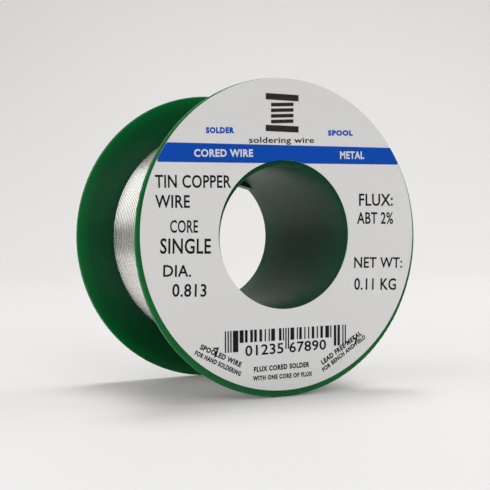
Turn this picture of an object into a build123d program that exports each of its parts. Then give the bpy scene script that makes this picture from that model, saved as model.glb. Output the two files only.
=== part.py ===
from build123d import *

import math
import os

# A quarter-pound spool of solder wire. Millimetres. The spool's axis lies along Y, the labelled
# face looks to -Y, +Z is up, and the origin is on the axis at half the spool's width.
# The spool stands on the rims of its two flanges, which touch the bench at z = -FLANGE_RADIUS.

# Driving dimensions: the moulded body.
FLANGE_RADIUS = 28.0
SPOOL_WIDTH = 31.0  # over the label and the back face
LABEL_THICKNESS = 0.1
FLANGE_THICKNESS = 1.0
RIM_ROUND = 0.3
BORE_RADIUS = 12.7  # a one-inch spindle bore
BARREL_WALL = 1.0
SPIGOT_STEP = 0.4  # the barrel's ends step down by this to pass through the flanges
MOUTH_ROUND = 0.2
LUG_CHORD = 11.3  # from the axis to a drive lug's flat
LUG_LENGTH = 2.9
LUG_RELIEF = 0.2  # the bore opens by this around the lugs
LUG_GAP = 0.3  # from the end of the full bore wall to the lugs
LUG_ANGLES = (76, 256)  # degrees from +X towards +Z

# Driving dimensions: the wire and its winding.
WIRE_DIAMETER = 0.813
WINDING_RADIUS = 21.0
START_ANGLE = -25
END_ANGLE = 20
HOLE_PLAY = 0.2  # a wire hole's radius is larger than the wire's by this

# Driving dimensions: the printed label.
LABEL_RADIUS = 27.4
LABEL_HOLE_RADIUS = 13.08
LABEL_SHIFT_X = 0.09
LABEL_SHIFT_Z = 0.55

# Worked out from those.
FRONT = -SPOOL_WIDTH / 2
FRONT_FACE = FRONT + LABEL_THICKNESS
BACK_FACE = SPOOL_WIDTH / 2
FRONT_INNER = FRONT_FACE + FLANGE_THICKNESS
BACK_INNER = BACK_FACE - FLANGE_THICKNESS
BARREL_RADIUS = BORE_RADIUS + BARREL_WALL
SPIGOT_RADIUS = BARREL_RADIUS - SPIGOT_STEP
WIRE_RADIUS = WIRE_DIAMETER / 2
HOLE_RADIUS = WIRE_RADIUS + HOLE_PLAY
START_RADIUS = BARREL_RADIUS + HOLE_RADIUS
END_RADIUS = WINDING_RADIUS - WIRE_RADIUS


def along_y(radius, y_low, y_high):
    """A round bar on the spool's axis from y_low to y_high."""
    bar = Cylinder(radius, y_high - y_low)
    return Pos(0, (y_low + y_high) / 2, 0) * Rot(90, 0, 0) * bar


def off_axis_bar(bar_radius, distance, angle, y_low, y_high):
    """A round bar beside the axis, at an angle from +X towards +Z."""
    turn = math.radians(angle)
    place = Pos(distance * math.cos(turn), 0, distance * math.sin(turn))
    return place * along_y(bar_radius, y_low, y_high)


def largest_circles(solid, count):
    """The round edges with the largest radius."""
    return solid.edges().filter_by(GeomType.CIRCLE).sort_by(SortBy.RADIUS)[-count:]


def flange(y_low, y_high):
    """A disc with a spigot hole, a rounded rim, and a small hole for each end of the wire."""
    disc = along_y(FLANGE_RADIUS, y_low, y_high)
    disc = fillet(largest_circles(disc, 2), RIM_ROUND)
    disc -= along_y(SPIGOT_RADIUS, y_low, y_high)
    disc -= off_axis_bar(HOLE_RADIUS, START_RADIUS, START_ANGLE, y_low, y_high)
    disc -= off_axis_bar(HOLE_RADIUS, END_RADIUS, END_ANGLE, y_low, y_high)
    return disc


def drive_lug(angle):
    """A segment that fills the bore beyond a chord, at the back end of the bore."""
    reach = BORE_RADIUS - LUG_CHORD
    block = Pos(LUG_CHORD + reach, 0, 0) * Box(2 * reach, LUG_LENGTH, 2 * BORE_RADIUS)
    block = Pos(0, BACK_FACE - LUG_LENGTH / 2, 0) * Rot(0, -angle, 0) * block
    return block & along_y(BORE_RADIUS + BARREL_WALL / 4, BACK_FACE - LUG_LENGTH, BACK_FACE)


def bore_mouths(tube):
    """The smallest round edge at each end of the tube."""
    ends = tube.edges().filter_by(GeomType.CIRCLE).group_by(Axis.Y)
    return [ends[0].sort_by(SortBy.RADIUS)[0], ends[-1].sort_by(SortBy.RADIUS)[0]]


def barrel():
    """The tube between the flanges. A spigot at each end goes through a flange to its face."""
    tube = along_y(BARREL_RADIUS, FRONT_INNER, BACK_INNER)
    tube += along_y(SPIGOT_RADIUS, FRONT_FACE, BACK_FACE)
    tube -= along_y(BORE_RADIUS, FRONT_FACE, BACK_FACE)
    tube -= along_y(BORE_RADIUS + LUG_RELIEF, BACK_FACE - LUG_LENGTH - LUG_GAP, BACK_FACE)
    tube = fillet(bore_mouths(tube), MOUTH_ROUND)
    for angle in LUG_ANGLES:
        tube += drive_lug(angle)
    return tube


def winding():
    """The outer shape of all the turns of wire, from flange to flange."""
    outside = along_y(WINDING_RADIUS, FRONT_INNER, BACK_INNER)
    return outside - along_y(BARREL_RADIUS, FRONT_INNER, BACK_INNER)


def wire_start():
    """The wire's first end, cut off inside the front flange's inner hole."""
    return off_axis_bar(WIRE_RADIUS, START_RADIUS, START_ANGLE, FRONT_FACE, FRONT_INNER)


def wire_end():
    """The wire's last end, tucked into the back flange's outer hole."""
    return off_axis_bar(WIRE_RADIUS, END_RADIUS, END_ANGLE, BACK_INNER, BACK_FACE)


def front_label():
    """A printed ring of thin sheet, stuck on a little high and to the right."""
    ring = along_y(LABEL_RADIUS, FRONT, FRONT_FACE) - along_y(LABEL_HOLE_RADIUS, FRONT, FRONT_FACE)
    return Pos(LABEL_SHIFT_X, 0, LABEL_SHIFT_Z) * ring


def write(name, solid):
    solid.label = name
    export_step(solid, f"parts/{name}.step")


os.makedirs("parts", exist_ok=True)
write("front_flange", flange(FRONT_FACE, FRONT_INNER))
write("back_flange", flange(BACK_INNER, BACK_FACE))
write("barrel", barrel())
write("solder_winding", winding())
write("solder_start", wire_start())
write("solder_end", wire_end())
write("front_label", front_label())
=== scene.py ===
import math
import random

import bmesh
import bpy
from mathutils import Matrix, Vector


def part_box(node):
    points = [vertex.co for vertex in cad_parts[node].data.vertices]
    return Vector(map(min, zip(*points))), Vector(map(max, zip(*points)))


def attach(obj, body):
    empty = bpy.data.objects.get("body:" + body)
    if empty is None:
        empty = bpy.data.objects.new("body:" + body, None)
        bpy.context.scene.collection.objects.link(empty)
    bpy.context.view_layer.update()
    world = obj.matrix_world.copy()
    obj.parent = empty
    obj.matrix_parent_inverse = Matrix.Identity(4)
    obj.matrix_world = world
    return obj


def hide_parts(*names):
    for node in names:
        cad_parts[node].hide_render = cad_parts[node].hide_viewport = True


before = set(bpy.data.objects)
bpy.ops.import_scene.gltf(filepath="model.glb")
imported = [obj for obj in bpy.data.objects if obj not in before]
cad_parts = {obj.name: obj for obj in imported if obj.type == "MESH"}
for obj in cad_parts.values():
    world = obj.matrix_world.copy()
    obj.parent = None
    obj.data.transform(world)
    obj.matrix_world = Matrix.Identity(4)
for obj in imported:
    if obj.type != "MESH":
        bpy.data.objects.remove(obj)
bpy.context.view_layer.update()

# A quarter-pound spool of solder wire, standing on its rims. Metres, in the row frame: the
# spool's axis is Y, the labelled face looks to -Y, and +Z is up.

MM = 0.001

FLANGE_LOW, FLANGE_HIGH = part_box("front_flange")
LABEL_LOW, LABEL_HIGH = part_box("front_label")
WINDING_LOW, WINDING_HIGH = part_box("solder_winding")
BARREL_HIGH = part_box("barrel")[1]
START_LOW, START_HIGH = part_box("solder_start")
END_LOW, END_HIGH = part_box("solder_end")

FLANGE_RADIUS = FLANGE_HIGH.x
FRONT = LABEL_LOW.y
FLOOR = FLANGE_LOW.z
WIRE_DIAMETER = START_HIGH.x - START_LOW.x


# ---------------------------------------------------------------- objects


def place_object(name, data):
    made = bpy.data.objects.new(name, data)
    bpy.context.scene.collection.objects.link(made)
    return made


def place_mesh(name, build, material):
    """An object in the scene from a bmesh, which is used up."""
    bmesh.ops.recalc_face_normals(build, faces=build.faces)
    mesh = bpy.data.meshes.new(name)
    build.to_mesh(mesh)
    build.free()
    mesh.materials.append(material)
    return place_object(name, mesh)


# ---------------------------------------------------------------- camera

VIEW_TURN = 27.52  # degrees that the view is turned from the spool's axis
VIEW_DIP = 1.114  # degrees that it looks down
# the camera's place, in flange radii from the middle of the labelled face
CAMERA_X = -3.2302
CAMERA_OUT = 5.6545
CAMERA_UP = 0.0812
LENS_MM = 76.2
SENSOR_MM = 36.0
CLIP_START = 0.01


def make_camera():
    data = bpy.data.cameras.new("camera")
    data.lens = LENS_MM
    data.sensor_width = SENSOR_MM
    data.clip_start = CLIP_START
    camera = place_object("camera", data)
    camera.location = (
        CAMERA_X * FLANGE_RADIUS,
        FRONT - CAMERA_OUT * FLANGE_RADIUS,
        CAMERA_UP * FLANGE_RADIUS,
    )
    camera.rotation_euler = (math.radians(90 - VIEW_DIP), 0, math.radians(-VIEW_TURN))
    bpy.context.scene.camera = camera


# ---------------------------------------------------------------- the wire

LAYERS = 9
TURNS = 34  # in each layer
INNER_POINTS = 7  # a turn, in the layers that nothing shows
OUTER_POINTS = 20  # a turn, in the outermost layer
FLANGE_STAY = 0.5  # turns that a layer starts and ends with against a flange
FIRST_TURN = 0.04  # where the winding's control points start, in turns
HOLE_END = 0.1 * MM  # from an end of the wire to the outside of its flange
HOLE_BEND = 0.3 * MM  # and from where it bends to the flange's inside
SPLINE_ORDER = 3
SPLINE_STEPS = 3  # segments between control points
SIDE_STEPS = 4  # of the wire's section, which makes twelve sides

SWAY = 0.035 * MM  # how unevenly the turns lie along the spool
SWAY_WAVES = 7
SWAY_RATES = (0.13, 0.9)  # the slowest and fastest wave, in radians a turn
WIRE_SEED = 5


def on_spool(radius, angle, y):
    return (radius * math.cos(angle), y, radius * math.sin(angle))


def polar(low, high):
    """The radius and angle of the middle of a box, about the spool's axis."""
    middle = (low + high) / 2
    return math.hypot(middle.x, middle.z), math.atan2(middle.z, middle.x)


def wire_points():
    """The control points of the whole wire: its start, its layers to and fro, and its end."""
    start_radius, start_angle = polar(START_LOW, START_HIGH)
    end_radius, end_angle = polar(END_LOW, END_HIGH)
    half = WIRE_DIAMETER / 2
    inner = BARREL_HIGH.x + half
    rise = (WINDING_HIGH.x - half - inner) / (LAYERS - 1)
    y_front = WINDING_LOW.y + half
    y_back = WINDING_HIGH.y - half
    pitch = (y_back - y_front) / (TURNS - 2 * FLANGE_STAY)
    last_part = ((end_angle - start_angle) / math.tau) % 1.0
    rng = random.Random(WIRE_SEED)
    waves = [(rng.uniform(*SWAY_RATES), rng.uniform(0, math.tau)) for _ in range(SWAY_WAVES)]
    points = [
        on_spool(start_radius, start_angle, START_LOW.y + HOLE_END),
        on_spool(start_radius, start_angle, START_HIGH.y - HOLE_BEND),
        on_spool(inner, start_angle, y_front),
    ]
    total_turns = LAYERS * TURNS + last_part
    turn = FIRST_TURN
    while turn < total_turns:
        layer = min(int(turn / TURNS), LAYERS - 1)
        along = turn - layer * TURNS
        per_turn = OUTER_POINTS if layer == LAYERS - 1 else INNER_POINTS
        step = min(max(along - FLANGE_STAY, 0.0), TURNS - 2 * FLANGE_STAY)
        y = y_front + pitch * step if layer % 2 == 0 else y_back - pitch * step
        sway = sum(math.sin(rate * turn + phase) for rate, phase in waves) / len(waves)
        inside = min(1.0, step, TURNS - 2 * FLANGE_STAY - step)
        y += SWAY * sway * inside
        climb = min(max((along - (TURNS - FLANGE_STAY)) / FLANGE_STAY, 0.0), 1.0)
        if layer == LAYERS - 1:
            climb = 0.0
        radius = inner + rise * (layer + climb)
        # a spline of order 3 runs this much inside its control points
        radius /= 0.75 + 0.25 * math.cos(math.tau / per_turn)
        points.append(on_spool(radius, start_angle + math.tau * turn, y))
        turn += 1 / per_turn
    points += [
        on_spool(end_radius, end_angle, y_back),
        on_spool(end_radius, end_angle, END_LOW.y + HOLE_BEND),
        on_spool(end_radius, end_angle, END_HIGH.y - HOLE_END),
    ]
    return points


def curve_piece(name, points, diameter):
    data = bpy.data.curves.new(name, "CURVE")
    data.dimensions = "3D"
    data.bevel_depth = diameter / 2
    data.bevel_resolution = SIDE_STEPS
    data.use_fill_caps = True
    data.resolution_u = SPLINE_STEPS
    spline = data.splines.new("NURBS")
    spline.points.add(len(points) - 1)
    for place, point in zip(spline.points, points):
        place.co = (*point, 1.0)
    spline.order_u = SPLINE_ORDER
    spline.use_endpoint_u = True
    spline.resolution_u = SPLINE_STEPS
    return place_object(name, data)


def length_of(curve):
    """The length of a curve's middle line."""
    bare = bpy.data.objects.new("bare", curve.data.copy())
    bare.data.bevel_depth = 0
    bare.data.use_fill_caps = False
    mesh = bpy.data.meshes.new_from_object(bare)
    spots = [v.co.copy() for v in mesh.vertices]
    bpy.data.meshes.remove(mesh)
    bpy.data.curves.remove(bare.data)
    return sum((b - a).length for a, b in zip(spots, spots[1:]))


def make_wire():
    points = wire_points()
    wire = curve_piece("solder_wire", points, WIRE_DIAMETER)
    wire.data.materials.append(solder_material())
    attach(wire, "root")
    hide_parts("solder_winding", "solder_start", "solder_end")
    length_of(wire)


# ---------------------------------------------------------------- materials

NOISE_BODY = (0.3, 0.7)  # what most of a noise lies between
MARK_SCALE = 2600  # of the finest noise, on wire and ink
BORE_RADIUS = 12.7 * MM
BORE_BLEND = 13.5 * MM  # the radius where the bore's duller surface has given way
PAINTED_LIGHT_START = 12 * MM  # the radius where the plastic's painted shade and painted rim glow start


def set_ranges(node, source, target):
    for end, low_high in (("From", source), ("To", target)):
        for limit, number in zip(("Min", "Max"), low_high):
            node.inputs[f"{end} {limit}"].default_value = number


class Recipe:
    """A material under construction: its nodes, links and main shader."""

    def __init__(self, name):
        self.material = bpy.data.materials.new(name)
        self.material.use_nodes = True
        self.tree = self.material.node_tree
        self.shader = self.tree.nodes["Principled BSDF"]

    def node(self, kind, **settings):
        made = self.tree.nodes.new(kind)
        for key, value in settings.items():
            setattr(made, key, value)
        return made

    def link(self, source, target):
        self.tree.links.new(source, target)

    def set(self, **values):
        for key, value in values.items():
            self.shader.inputs[key.replace("_", " ")].default_value = value

    def drive(self, **sources):
        for key, source in sources.items():
            self.link(source, self.shader.inputs[key.replace("_", " ")])

    def place(self):
        return self.node("ShaderNodeTexCoord").outputs["Object"]

    def math(self, operation, a, b=None):
        made = self.node("ShaderNodeMath", operation=operation)
        for socket, value in zip(made.inputs, (a, b)):
            if value is None:
                continue
            if isinstance(value, (int, float)):
                socket.default_value = value
            else:
                self.link(value, socket)
        return made.outputs[0]

    def stretched(self, scale, place=None):
        """The object's coordinates, scaled differently along each axis."""
        made = self.node("ShaderNodeMapping")
        made.inputs["Scale"].default_value = scale
        self.link(place or self.place(), made.inputs["Vector"])
        return made.outputs[0]

    def noise(self, scale, detail=2.0, roughness=0.5, place=None):
        made = self.node("ShaderNodeTexNoise")
        made.inputs["Scale"].default_value = scale
        made.inputs["Detail"].default_value = detail
        made.inputs["Roughness"].default_value = roughness
        self.link(place or self.place(), made.inputs["Vector"])
        return made.outputs["Fac"]

    def ramp(self, value, *stops):
        """value turned into a colour by (position, colour) stops."""
        made = self.node("ShaderNodeValToRGB")
        elements = made.color_ramp.elements
        while len(elements) < len(stops):
            elements.new(0.5)
        for element, (position, colour) in zip(elements, stops):
            element.position = position
            element.color = (*colour, 1.0)
        self.link(value, made.inputs["Fac"])
        return made.outputs["Color"]

    def spread(self, value, source, target):
        """value mapped from one range to another, and kept inside it."""
        made = self.node("ShaderNodeMapRange")
        set_ranges(made, source, target)
        self.link(value, made.inputs["Value"])
        return made.outputs["Result"]

    def bump(self, height, strength, distance):
        made = self.node("ShaderNodeBump")
        made.inputs["Strength"].default_value = strength
        made.inputs["Distance"].default_value = distance
        self.link(height, made.inputs["Height"])
        self.link(made.outputs["Normal"], self.shader.inputs["Normal"])

    def radius(self):
        """The distance from the spool's axis, in metres."""
        split = self.node("ShaderNodeSeparateXYZ")
        self.link(self.place(), split.inputs[0])
        x, z = split.outputs["X"], split.outputs["Z"]
        square = self.math("ADD", self.math("MULTIPLY", x, x), self.math("MULTIPLY", z, z))
        return self.math("SQRT", square)

    def blend(self, factor, a, b):
        made = self.node("ShaderNodeMix", data_type="RGBA")
        for socket, value in (("Factor", factor), ("A", a), ("B", b)):
            target = [s for s in made.inputs if s.name == socket and s.enabled][0]
            if isinstance(value, tuple):
                target.default_value = (*value, 1.0)
            elif isinstance(value, (int, float)):
                target.default_value = value
            else:
                self.link(value, target)
        return [s for s in made.outputs if s.enabled][0]


def solder_material():
    """Bright drawn tin, a little duller in patches, with fine draw marks."""
    r = Recipe("solder")
    r.set(Metallic=1.0, IOR=1.5)
    patches = r.noise(scale=160)
    tone = r.ramp(patches, (0.35, (0.89, 0.87, 0.83)), (0.65, (0.94, 0.925, 0.885)))
    marks = r.noise(scale=MARK_SCALE)
    r.drive(Base_Color=tone, Roughness=r.spread(marks, NOISE_BODY, (0.25, 0.29)))
    r.bump(marks, strength=0.015, distance=0.005 * MM)
    return r.material


def plastic_material():
    """Deep green tinted plastic, with painted shade towards the hub and a painted glow of light
    at the rim.
    """
    r = Recipe("spool_plastic")
    r.set(IOR=1.52, Specular_IOR_Level=0.16)
    r.set(Subsurface_Weight=0.30, Subsurface_Radius=(0.10, 1.0, 0.25), Subsurface_Scale=1.2 * MM)
    radius = r.radius()
    flow = r.noise(scale=110, detail=3.0, roughness=0.6)
    painted_light_and_flow = r.math(
        "ADD",
        r.spread(radius, (PAINTED_LIGHT_START, FLANGE_RADIUS), (0.0, 1.0)),
        r.spread(flow, NOISE_BODY, (-0.02, 0.02)),
    )
    # the ramp paints shade between the flanges, darkest near the winding, and a painted glow of
    # light brightest at the rim
    tone = r.ramp(
        painted_light_and_flow,
        (0.0, (0.0030, 0.088, 0.038)),
        (0.08, (0.0020, 0.058, 0.021)),
        (0.55, (0.0015, 0.061, 0.020)),
        (0.85, (0.0015, 0.080, 0.022)),
        (1.0, (0.0020, 0.155, 0.033)),
    )
    roughness = r.math(
        "ADD",
        r.spread(r.noise(scale=900, detail=4.0), NOISE_BODY, (0.22, 0.28)),
        r.spread(radius, (BORE_RADIUS, BORE_BLEND), (0.14, 0.0)),
    )
    r.drive(Base_Color=tone, Roughness=roughness)
    r.bump(r.noise(scale=260), strength=0.02, distance=0.03 * MM)
    return r.material


def label_material():
    """Satin silver label stock: a faint grain on its face, and a cream cut edge."""
    r = Recipe("label_stock")
    r.set(IOR=1.5, Specular_IOR_Level=0.3)
    along_grain = r.stretched((1500, 1, 700))
    grain = r.noise(scale=1.0, detail=4.0, roughness=0.6, place=along_grain)
    tone = r.ramp(grain, (0.25, (0.835, 0.835, 0.826)), (0.75, (0.870, 0.870, 0.861)))
    clouds = r.spread(r.noise(scale=70, detail=3.0), (0.35, 0.65), (0.0, 0.4))
    face = r.blend(clouds, tone, (0.875, 0.871, 0.860))
    split = r.node("ShaderNodeSeparateXYZ")
    r.link(r.node("ShaderNodeNewGeometry").outputs["Normal"], split.inputs[0])
    edge = r.math("LESS_THAN", r.math("ABSOLUTE", split.outputs["Y"]), 0.5)
    r.drive(
        Base_Color=r.blend(edge, face, (0.84, 0.78, 0.68)),
        Roughness=r.spread(grain, NOISE_BODY, (0.42, 0.55)),
    )
    r.bump(grain, strength=0.05, distance=0.02 * MM)
    return r.material


def ink_material(name, colour, lighter):
    """Flat printing ink with a little mottle where it went on thinner."""
    r = Recipe(name)
    r.set(IOR=1.5, Specular_IOR_Level=0.12)
    mottle = r.noise(scale=MARK_SCALE, detail=3.0)
    r.drive(
        Base_Color=r.ramp(mottle, (0.40, colour), (0.85, lighter)),
        Roughness=r.spread(mottle, NOISE_BODY, (0.40, 0.5)),
    )
    return r.material


def sheet_material(name, scale, detail, darker, lighter, **values):
    """A matt sheet, a little cloudy."""
    r = Recipe(name)
    r.set(**values)
    clouds = r.noise(scale, detail)
    r.drive(Base_Color=r.ramp(clouds, (NOISE_BODY[0], darker), (NOISE_BODY[1], lighter)))
    return r.material


# ---------------------------------------------------------------- dressing the CAD parts


def dress(node, material):
    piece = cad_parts[node]
    piece.data.materials.clear()
    piece.data.materials.append(material)


def dress_parts():
    plastic = plastic_material()
    for node in ("front_flange", "back_flange", "barrel"):
        dress(node, plastic)
    dress("front_label", label_material())


# ---------------------------------------------------------------- the label's print

# The print is thin closed plates of ink. Its places and sizes are millimetres on the label,
# across and up from the bore's centre.

INK_ROOT = 0.02  # that ink reaches into the label
INK_LIFT = 0.015  # that it stands above it
OVERPRINT_LIFT = 0.03  # and that ink on other ink does
INK_WELD = 0.001 * MM

# how much the letters of each kind are swollen, in letter heights
MEDIUM = 0.016
BOLD = 0.035
STOUT = 0.05
HEAVY = 0.065
LETTER_GAP = 3.0  # how much further apart swollen letters stand
LETTER_STEPS = 3  # segments in each bend of a letter

LABEL_MIDDLE = (LABEL_LOW + LABEL_HIGH) / 2
LABEL_RADIUS = (LABEL_HIGH.x - LABEL_LOW.x) / 2

BLACK_INK = ((0.007, 0.007, 0.008), (0.022, 0.022, 0.024))
BLUE_INK = ((0.002, 0.076, 0.500), (0.006, 0.092, 0.560))
WHITE_INK = ((0.80, 0.81, 0.82), (0.74, 0.76, 0.79))
BROWN_INK = ((0.030, 0.024, 0.021), (0.045, 0.038, 0.034))

# words, left, baseline, width, height, slope in degrees
BLACK_LINES = (
    ("TIN COPPER", -24.64, 8.33, 14.0, 2.2, 0.9),
    ("WIRE", -24.65, 5.04, 6.3, 2.15, 0.45),
    ("CORE", -21.97, 0.92, 5.1, 2.15, 0.0),
    ("SINGLE", -23.77, -2.54, 9.3, 2.6, -0.7),
    ("DIA.", -23.24, -6.36, 5.1, 2.0, -1.2),
    ("0.813", -21.63, -9.72, 6.3, 2.2, -1.8),
    ("FLUX:", 15.51, 5.71, 7.5, 2.25, 0.45),
    ("ABT 2%", 15.08, 2.42, 8.0, 2.2, 0.0),
    ("NET WT:", 14.45, -5.59, 10.7, 2.0, -1.1),
    ("0.11 KG", 14.46, -9.60, 9.3, 2.2, -1.7),
    ("01235 67890", -7.9, -20.45, 16.4, 1.9, 0.95),
    ("7", -14.0, -20.3, 1.1, 1.7, 1.0),
    ("7", 14.2, -20.0, 1.1, 1.7, 1.0),
    ("soldering wire", -7.17, 16.05, 13.1, 1.35, 2.0),
)
SMALL_BLACK_LINES = (
    ("SPOOLED WIRE", -16.6, -18.7, 8.5, 0.95, -25.0),
    ("FOR HAND SOLDERING", -17.6, -19.6, 9.6, 0.85, -26.0),
    ("FLUX CORED SOLDER", -6.2, -23.3, 11.2, 0.95, 1.2),
    ("WITH ONE CORE OF FLUX", -6.4, -24.8, 12.0, 0.85, 0.3),
    ("LEAD FREE METAL", 7.8, -22.9, 9.8, 0.95, 31.0),
    ("FOR BENCH AND FIELD", 8.0, -24.2, 10.7, 0.85, 32.0),
)
BLUE_LINES = (
    ("SOLDER", -15.36, 17.68, 5.35, 1.08, 2.3),
    ("SPOOL", 8.83, 18.22, 5.3, 1.02, 2.3),
)
WHITE_LINES = (
    ("CORED WIRE", -17.58, 13.64, 11.2, 1.35, 1.75),
    ("METAL", 11.39, 14.15, 5.2, 1.4, 1.65),
)

BAND_TOP = ((-21.95, 15.94), (21.90, 16.53))  # two points on each edge of the blue band
BAND_FOOT = ((-22.85, 12.67), (23.72, 13.47))
BAND_COLUMNS = 160
BAND_LEAST = 0.02  # the least height that is printed

SIGN_MIDDLE = (-0.6, 21.85)  # of the plain spool sign
SIGN_FLANGE = (6.6, 1.1)  # across and up
SIGN_RISE = 2.75  # from the sign's middle to the middle of a flange
SIGN_WIRE = (4.5, 0.62)  # across and up
SIGN_WIRES = 4
SIGN_PITCH = 0.98
SIGN_LEAN = 0.3  # that each turn of wire climbs across the sign

BARS_LEFT = (-11.85, -15.9)  # the bar code's upper left corner
BARS_SLOPE = 0.15  # degrees
BAR_MODULE = 0.2585
BAR_HEIGHT = 2.15
LONG_BAR_HEIGHT = 3.7
BARS_SEED = 11
DIGIT_MODULES = 7
DIGITS_EACH_SIDE = 6
# runs of the bar code are (modules, is a bar, is a long bar)
GUARD = [(1, True, True), (1, False, True), (1, True, True)]
MIDDLE_GUARD = [(1, False, True)] + GUARD + [(1, False, True)]


def ink_y(lift):
    return FRONT - lift * MM


def add_strip(build, upper, lower):
    """A thin closed plate of ink between two rows of points."""
    rows = []
    for row, lift in (
        (upper, INK_LIFT),
        (lower, INK_LIFT),
        (lower, -INK_ROOT),
        (upper, -INK_ROOT),
    ):
        rows.append([build.verts.new((x * MM, ink_y(lift), z * MM)) for x, z in row])
    for i in range(len(upper) - 1):
        for a, b in zip(rows, rows[1:] + rows[:1]):
            build.faces.new((a[i], b[i], b[i + 1], a[i + 1]))
    build.faces.new([row[0] for row in rows])
    build.faces.new([row[-1] for row in reversed(rows)])


def sloped(corner, across, up, slope):
    """The place across and up from a corner, in directions turned by a slope in degrees."""
    turn = math.radians(slope)
    x = corner[0] + across * math.cos(turn) - up * math.sin(turn)
    z = corner[1] + across * math.sin(turn) + up * math.cos(turn)
    return x, z


def letters(words, swell):
    """The mesh of a line of words, a unit thick."""
    data = bpy.data.curves.new("words", "FONT")
    data.body = words
    data.resolution_u = LETTER_STEPS
    data.extrude = 0.5
    data.offset = swell
    data.space_character = 1 + LETTER_GAP * swell
    maker = bpy.data.objects.new("words", data)
    mesh = bpy.data.meshes.new_from_object(maker)
    bpy.data.objects.remove(maker)
    bpy.data.curves.remove(data)
    return mesh


def add_words(build, line, lift, swell):
    """A line of words, fitted to its width and height."""
    words, left, baseline, width, height, slope = line
    mesh = letters(words, swell)
    spots = [v.co for v in mesh.vertices]
    low_x, high_x = min(c.x for c in spots), max(c.x for c in spots)
    low_y, high_y = min(c.y for c in spots), max(c.y for c in spots)
    for vertex in mesh.vertices:
        across = width * (vertex.co.x - low_x) / (high_x - low_x)
        up = height * (vertex.co.y - low_y) / (high_y - low_y)
        x, z = sloped((left, baseline), across, up, slope)
        vertex.co = (x * MM, ink_y(lift if vertex.co.z > 0 else -INK_ROOT), z * MM)
    build.from_mesh(mesh)
    bpy.data.meshes.remove(mesh)


def ink_piece(name, build, material):
    bmesh.ops.remove_doubles(build, verts=build.verts, dist=INK_WELD)
    piece = place_mesh(name, build, material)
    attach(piece, "root")


def line_height(line, x):
    (x0, z0), (x1, z1) = line
    return z0 + (z1 - z0) * (x - x0) / (x1 - x0)


def hole_radius():
    """The radius of the label's hole: the least distance of its mesh from its middle."""
    spots = [v.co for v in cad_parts["front_label"].data.vertices]
    return min(math.hypot(c.x - LABEL_MIDDLE.x, c.z - LABEL_MIDDLE.z) for c in spots)


def add_band(build):
    """The band across the label, cut by the label's edge and by its hole."""
    middle_x, middle_z = LABEL_MIDDLE.x / MM, LABEL_MIDDLE.z / MM
    reach = LABEL_RADIUS / MM
    hole = hole_radius() / MM
    upper, lower = [], []
    for i in range(BAND_COLUMNS + 1):
        x = middle_x + reach * (2 * i / BAND_COLUMNS - 1)
        out = x - middle_x
        top = min(line_height(BAND_TOP, x), middle_z + math.sqrt(max(reach**2 - out**2, 0)))
        foot = line_height(BAND_FOOT, x)
        if abs(out) < hole:
            foot = max(foot, middle_z + math.sqrt(hole**2 - out**2))
        if top - foot > BAND_LEAST:
            upper.append((x, top))
            lower.append((x, foot))
    add_strip(build, upper, lower)


def add_bar(build, middle, size, lean=0.0):
    """A bar of ink, which climbs by lean from its left end to its right."""
    (x, z), half_x, half_z = middle, size[0] / 2, size[1] / 2
    ends = ((x - half_x, z - lean / 2), (x + half_x, z + lean / 2))
    add_strip(build, [(a, b + half_z) for a, b in ends], [(a, b - half_z) for a, b in ends])


def add_spool_sign(build):
    """A plain sign for a spool: two flanges, with turns of wire between them."""
    x, z = SIGN_MIDDLE
    for side in (-1, 1):
        add_bar(build, (x, z + side * SIGN_RISE), SIGN_FLANGE)
    for i in range(SIGN_WIRES):
        height = z + SIGN_PITCH * (i - (SIGN_WIRES - 1) / 2)
        add_bar(build, (x, height), SIGN_WIRE, SIGN_LEAN)


def digit_runs(rng):
    """Four runs of modules, bar and space in turn, that fill one digit of a bar code."""
    runs = [1, 1, 1, 1]
    for _ in range(DIGIT_MODULES - len(runs)):
        runs[rng.randrange(len(runs))] += 1
    return runs


def bar_runs():
    """The bar code from left to right, with seeded random digits that encode nothing."""
    rng = random.Random(BARS_SEED)
    runs = list(GUARD)
    for digit in range(2 * DIGITS_EACH_SIDE):
        if digit == DIGITS_EACH_SIDE:
            runs += MIDDLE_GUARD
        right = digit >= DIGITS_EACH_SIDE
        tall = digit in (0, 2 * DIGITS_EACH_SIDE - 1)
        for i, modules in enumerate(digit_runs(rng)):
            runs.append((modules, (i % 2 == 0) == right, tall))
    return runs + GUARD


def add_bars(build):
    across = 0.0
    for modules, is_bar, tall in bar_runs():
        width = modules * BAR_MODULE
        drop = LONG_BAR_HEIGHT if tall else BAR_HEIGHT
        if is_bar:
            add_strip(
                build,
                [sloped(BARS_LEFT, across + a, 0, BARS_SLOPE) for a in (0, width)],
                [sloped(BARS_LEFT, across + a, -drop, BARS_SLOPE) for a in (0, width)],
            )
        across += width


def make_print():
    black, blue, white, sign = (bmesh.new() for _ in range(4))
    for build, lines, lift, swell in (
        (black, BLACK_LINES, INK_LIFT, MEDIUM),
        (black, SMALL_BLACK_LINES, INK_LIFT, STOUT),
        (blue, BLUE_LINES, INK_LIFT, HEAVY),
        (white, WHITE_LINES, OVERPRINT_LIFT, BOLD),
    ):
        for line in lines:
            add_words(build, line, lift, swell)
    add_bars(black)
    add_band(blue)
    add_spool_sign(sign)
    for name, build, ink in (
        ("label_print_black", black, ink_material("black_ink", *BLACK_INK)),
        ("label_print_blue", blue, ink_material("blue_ink", *BLUE_INK)),
        ("label_print_white", white, ink_material("white_ink", *WHITE_INK)),
        ("label_spool_sign", sign, ink_material("brown_ink", *BROWN_INK)),
    ):
        ink_piece(name, build, ink)


# ---------------------------------------------------------------- floor, light

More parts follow.
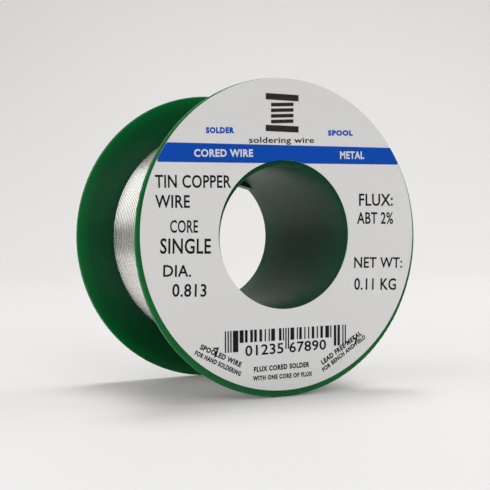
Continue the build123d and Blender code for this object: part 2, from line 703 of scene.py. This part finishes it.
# The backdrop's outline, in metres out from under the spool, along the view, and up.
SHEET_NEAR = -0.9
SHEET_FAR = 0.42  # where it starts to curve up
SHEET_TOP = 0.75
SHEET_BEND = 0.28  # the curve's radius
SHEET_STEPS = 24  # segments in the curve
SHEET_HALF_WIDTH = 1.3
SHEET_DARKER = (0.762, 0.747, 0.742)
SHEET_LIGHTER = (0.782, 0.767, 0.762)

MAT_EDGE = ((-0.28, -0.60), (0.07, 0.90))  # of the dark mat, on the side of the spool
MAT_WIDTH = 0.24
MAT_DARKER = (0.075, 0.075, 0.075)
MAT_LIGHTER = (0.095, 0.095, 0.095)

SKY_TINT = (1.0, 0.995, 0.985, 1.0)
SKY_HEIGHTS = (0.02, 0.60)  # the sines of the elevations that the sky's strength changes between
SKY_STRENGTHS = (0.07, 0.36)

# name, place, width and height, watts; each lamp faces the spool
LAMPS = (
    ("overhead", (0.17, 0.19, 1.10), (0.45, 0.45), 6.6),
    ("right_softbox", (0.60, -0.05, 0.30), (0.35, 0.25), 0.95),
    ("left_softbox", (-0.72, -0.10, 0.45), (1.1, 0.75), 2.9),
    ("front_fill", (-0.15, -0.85, 0.60), (0.5, 0.5), 1.85),
)


def make_backdrop():
    """A pale sheet that lies flat under the spool and curves up behind it."""
    profile = [(SHEET_NEAR, 0.0), (SHEET_FAR, 0.0)]
    for i in range(1, SHEET_STEPS + 1):
        turn = math.radians(90 * i / SHEET_STEPS)
        out = SHEET_FAR + SHEET_BEND * math.sin(turn)
        profile.append((out, SHEET_BEND * (1 - math.cos(turn))))
    profile.append((SHEET_FAR + SHEET_BEND, SHEET_TOP))
    build = bmesh.new()
    turn = math.radians(-VIEW_TURN)
    rows = []
    for side in (-SHEET_HALF_WIDTH, SHEET_HALF_WIDTH):
        row = []
        for out, up in profile:
            x = side * math.cos(turn) - out * math.sin(turn)
            y = side * math.sin(turn) + out * math.cos(turn)
            row.append(build.verts.new((x, y, FLOOR + up)))
        rows.append(row)
    for a, b, c, d in zip(rows[0], rows[0][1:], rows[1][1:], rows[1]):
        build.faces.new((a, b, c, d)).smooth = True
    material = sheet_material(
        "backdrop",
        scale=3,
        detail=2.0,
        darker=SHEET_DARKER,
        lighter=SHEET_LIGHTER,
        IOR=1.4,
        Roughness=0.55,
        Specular_IOR_Level=0.25,
    )
    place_mesh("backdrop", build, material)


def make_mat():
    """A dark mat on the floor, out of view, that draws a dark line across the winding."""
    build = bmesh.new()
    (x0, y0), (x1, y1) = MAT_EDGE
    outline = ((x0, y0), (x1, y1), (x1 - MAT_WIDTH, y1), (x0 - MAT_WIDTH, y0))
    build.faces.new([build.verts.new((x, y, FLOOR + MM)) for x, y in outline])
    material = sheet_material(
        "mat",
        scale=30,
        detail=3.0,
        darker=MAT_DARKER,
        lighter=MAT_LIGHTER,
        Roughness=0.8,
        Specular_IOR_Level=0.2,
    )
    place_mesh("mat", build, material)


def make_world():
    """A soft studio: dim around the horizon, brighter overhead."""
    world = bpy.data.worlds.new("studio")
    world.use_nodes = True
    tree = world.node_tree
    split = tree.nodes.new("ShaderNodeSeparateXYZ")
    strength = tree.nodes.new("ShaderNodeMapRange")
    coords = tree.nodes.new("ShaderNodeTexCoord")
    set_ranges(strength, SKY_HEIGHTS, SKY_STRENGTHS)
    background = tree.nodes["Background"]
    background.inputs["Color"].default_value = SKY_TINT
    tree.links.new(coords.outputs["Generated"], split.inputs[0])
    tree.links.new(split.outputs["Z"], strength.inputs["Value"])
    tree.links.new(strength.outputs["Result"], background.inputs["Strength"])
    bpy.context.scene.world = world


def add_lamp(name, place, size, watts):
    data = bpy.data.lights.new(name, "AREA")
    data.shape = "RECTANGLE"
    data.size, data.size_y = size
    data.energy = watts
    lamp = place_object(name, data)
    lamp.location = place
    lamp.rotation_euler = (-Vector(place)).to_track_quat("-Z", "Y").to_euler()


def make_light():
    bpy.context.scene.view_settings.view_transform = "Standard"
    make_world()
    for lamp in LAMPS:
        add_lamp(*lamp)


make_camera()
make_wire()
dress_parts()
make_print()
make_backdrop()
make_mat()
make_light()
